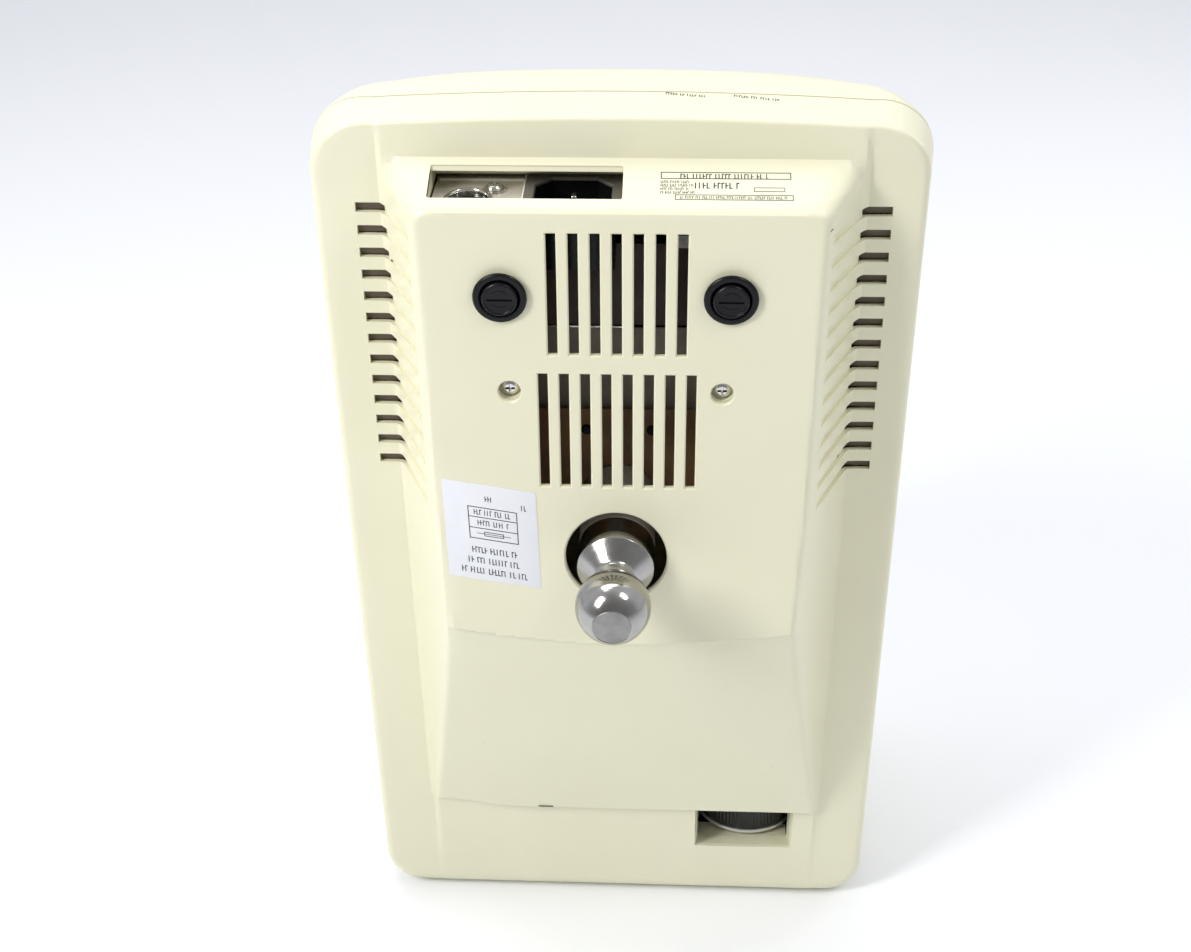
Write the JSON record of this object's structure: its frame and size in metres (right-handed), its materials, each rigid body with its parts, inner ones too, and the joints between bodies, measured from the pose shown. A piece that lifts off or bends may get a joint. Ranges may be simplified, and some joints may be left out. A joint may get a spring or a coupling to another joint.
{
  "type": "chart projector",
  "caption": "Automatic eye-test chart projector, cream two-part case with louvred underside, ball stud, fuses, focus wheel, standing on its lens end.",
  "frame": {"origin": "on the flat standing face at the lens end, 30 mm from the case seam towards the top cover, on the case's centre line", "axes": "+Z from the lens end up to the rear end, +X to the right when looking at the underside, +Y from the underside towards the top cover"},
  "size_m": [0.201, 0.1843, 0.3425],
  "materials": {
    "cream_abs": "fine moulded texture, satin",
    "black_plastic": "moulded, semi gloss",
    "plated_steel": "zinc plated sheet",
    "turned_stainless": "turned, bright",
    "black_aluminium": "black anodised",
    "optical_glass": "polished",
    "infrared_window": "dark red, polished",
    "circuit_board": "solder resist",
    "copper_winding": "varnished copper wire",
    "core_laminations": "varnished steel",
    "grey_plastic": "moulded",
    "ceramic": "unglazed ceramic",
    "bright_plating": "nickel plated",
    "white_label": "paper label"
  },
  "bodies": {
    "case": {"ball_stud": "turned_stainless", "base_shell": "cream_abs", "board_post_1": "plated_steel", "board_post_2": "plated_steel", "board_post_3": "plated_steel", "board_post_4": "plated_steel", "case_screw_left": "plated_steel", "case_screw_right": "plated_steel", "chart_motor": "core_laminations", "chassis_plate": "plated_steel", "condenser_barrel": "black_aluminium", "condenser_lens_front": "optical_glass", "condenser_lens_rear": "optical_glass", "condenser_plate": "plated_steel", "connector_panel": "plated_steel", "earth_pin": "bright_plating", "earth_screw": "bright_plating", "fan_frame": "black_plastic", "front_glass": "optical_glass", "fuse_holder_left": "black_plastic", "fuse_holder_right": "black_plastic", "fuse_label": "white_label", "heat_glass": "optical_glass", "infrared_board": "circuit_board", "infrared_window": "infrared_window", "lamp": "optical_glass", "lamp_house": "plated_steel", "lamp_socket": "ceramic", "lens_bezel": "black_plastic", "lens_mount": "black_aluminium", "live_pin": "bright_plating", "main_board": "circuit_board", "mains_inlet": "grey_plastic", "mask_motor": "core_laminations", "neutral_pin": "bright_plating", "optics_plate": "plated_steel", "reflector": "bright_plating", "signal_connector": "bright_plating", "signal_insert": "black_plastic", "stud_nut": "plated_steel", "stud_plate": "plated_steel", "stud_washer": "plated_steel", "top_cover": "cream_abs", "transformer_coil": "copper_winding", "transformer_core": "core_laminations"},
    "fuse_carrier_left": {"fuse_left": "optical_glass"},
    "fuse_carrier_right": {"fuse_right": "optical_glass"},
    "fuse_knob_left": {"fuse_cap_left": "black_plastic"},
    "fuse_knob_right": {"fuse_cap_right": "black_plastic"},
    "focus_control": {"focus_ring": "black_plastic"},
    "lens_cell": {"lens_barrel": "black_aluminium", "front_lens": "optical_glass", "rear_lens": "optical_glass"},
    "chart_wheel": {"chart_disk": "black_aluminium", "chart_shaft": "plated_steel"},
    "mask_wheel": {"mask_disk": "black_aluminium", "mask_shaft": "plated_steel"},
    "fan_wheel": {"fan_rotor": "black_plastic"}
  },
  "joints": [
    {"name": "fuse_left_pull", "type": "slide", "parent": "case", "child": "fuse_carrier_left", "axis": [0, -1, 0], "range_m": [0, 0.04]},
    {"name": "fuse_left_turn", "type": "hinge", "parent": "fuse_carrier_left", "child": "fuse_knob_left", "pos_m": [-0.036, -0.075, 0.2953], "axis": [0, 1, 0], "range_deg": [0, 90]},
    {"name": "fuse_right_pull", "type": "slide", "parent": "case", "child": "fuse_carrier_right", "axis": [0, -1, 0], "range_m": [0, 0.04]},
    {"name": "fuse_right_turn", "type": "hinge", "parent": "fuse_carrier_right", "child": "fuse_knob_right", "pos_m": [0.036, -0.075, 0.2953], "axis": [0, 1, 0], "range_deg": [0, 90]},
    {"name": "focus_turn", "type": "hinge", "parent": "case", "child": "focus_control", "pos_m": [0.051, -0.022, 0.04], "axis": [0, 0, 1], "range_deg": [-135, 135]},
    {"name": "lens_travel", "type": "slide", "parent": "case", "child": "lens_cell", "axis": [0, 0, 1], "range_m": [-0.003, 0.003]},
    {"name": "chart_spin", "type": "hinge", "parent": "case", "child": "chart_wheel", "pos_m": [0.022, 0, 0.118], "axis": [0, 0, 1], "continuous": true},
    {"name": "mask_spin", "type": "hinge", "parent": "case", "child": "mask_wheel", "pos_m": [0.031, 0.01, 0.124], "axis": [0, 0, 1], "continuous": true},
    {"name": "fan_spin", "type": "hinge", "parent": "case", "child": "fan_wheel", "pos_m": [0.051, -0.011, 0.25], "axis": [0, 0, 1], "continuous": true}
  ],
  "couplings": [
    {"joint": "focus_turn", "follows": "lens_travel", "rad_per_m": -785}
  ]
}
